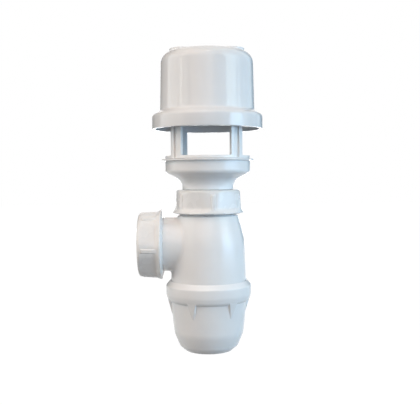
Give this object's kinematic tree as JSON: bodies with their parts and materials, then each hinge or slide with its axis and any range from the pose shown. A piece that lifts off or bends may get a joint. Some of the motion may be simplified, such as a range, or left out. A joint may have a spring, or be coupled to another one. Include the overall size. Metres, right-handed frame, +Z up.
{
  "type": "waste trap",
  "caption": "White plastic bottle trap with a screw-on cup, a threaded side outlet and an air-gap funnel under a hooded cage that takes the drain hoses of a water treatment appliance.",
  "frame": {"origin": "middle of the cup's flat base", "axes": "+Z up along the axis of the cup, body and head; -X out of the side outlet; -Y towards the viewer"},
  "size_m": [0.1114, 0.0986, 0.2696],
  "materials": {
    "white_plastic": "moulded gloss",
    "tube_plastic": "extruded, half gloss",
    "ring_plastic": "matte",
    "black_rubber": "matte"
  },
  "bodies": {
    "trap": {"trap_body": "white_plastic", "outlet_washer": "black_rubber"},
    "cup_seal_ring": {"cup_seal": "black_rubber"},
    "cup": {"cup": "white_plastic"},
    "inlet_ring": {"inlet_slip_ring": "ring_plastic"},
    "inlet_nut": {"inlet_nut": "white_plastic"},
    "inlet_washer": {"inlet_washer": "black_rubber"},
    "head": {"funnel": "white_plastic", "dip_tube": "tube_plastic", "cage": "white_plastic", "hose_carrier": "white_plastic", "hose_seal_left": "black_rubber", "hose_seal_right": "black_rubber", "hood": "white_plastic"},
    "outlet_ring": {"outlet_slip_ring": "ring_plastic"},
    "outlet_nut": {"outlet_nut": "white_plastic"}
  },
  "joints": [
    {"name": "cup_turn", "type": "hinge", "parent": "cup_seal_ring", "child": "cup", "pos_m": [0, 0, 0.05], "axis": [0, 0, -1], "range_deg": [0, 1080]},
    {"name": "cup_drop", "type": "slide", "parent": "trap", "child": "cup_seal_ring", "axis": [0, 0, -1], "range_m": [0, 0.0121]},
    {"name": "inlet_nut_turn", "type": "hinge", "parent": "inlet_ring", "child": "inlet_nut", "pos_m": [0, 0, 0.13], "axis": [0, 0, 1], "range_deg": [0, 1800]},
    {"name": "inlet_nut_lift", "type": "slide", "parent": "trap", "child": "inlet_ring", "axis": [0, 0, 1], "range_m": [0, 0.0116]},
    {"name": "head_swivel", "type": "hinge", "parent": "inlet_ring", "child": "inlet_washer", "pos_m": [0, 0, 0.138], "axis": [0, 0, 1], "continuous": true},
    {"name": "head_height", "type": "slide", "parent": "inlet_washer", "child": "head", "axis": [0, 0, 1], "range_m": [0, 0.025]},
    {"name": "outlet_nut_turn", "type": "hinge", "parent": "outlet_ring", "child": "outlet_nut", "pos_m": [-0.05, 0, 0.0951], "axis": [-1, 0, 0], "range_deg": [0, 1800]},
    {"name": "outlet_nut_slide", "type": "slide", "parent": "trap", "child": "outlet_ring", "axis": [-1, 0, 0], "range_m": [0, 0.0116]}
  ],
  "couplings": [
    {"joint": "cup_drop", "follows": "cup_turn", "m_per_rad": 0.00063662},
    {"joint": "inlet_nut_lift", "follows": "inlet_nut_turn", "m_per_rad": 0.00036749},
    {"joint": "outlet_nut_slide", "follows": "outlet_nut_turn", "m_per_rad": 0.00036749}
  ]
}
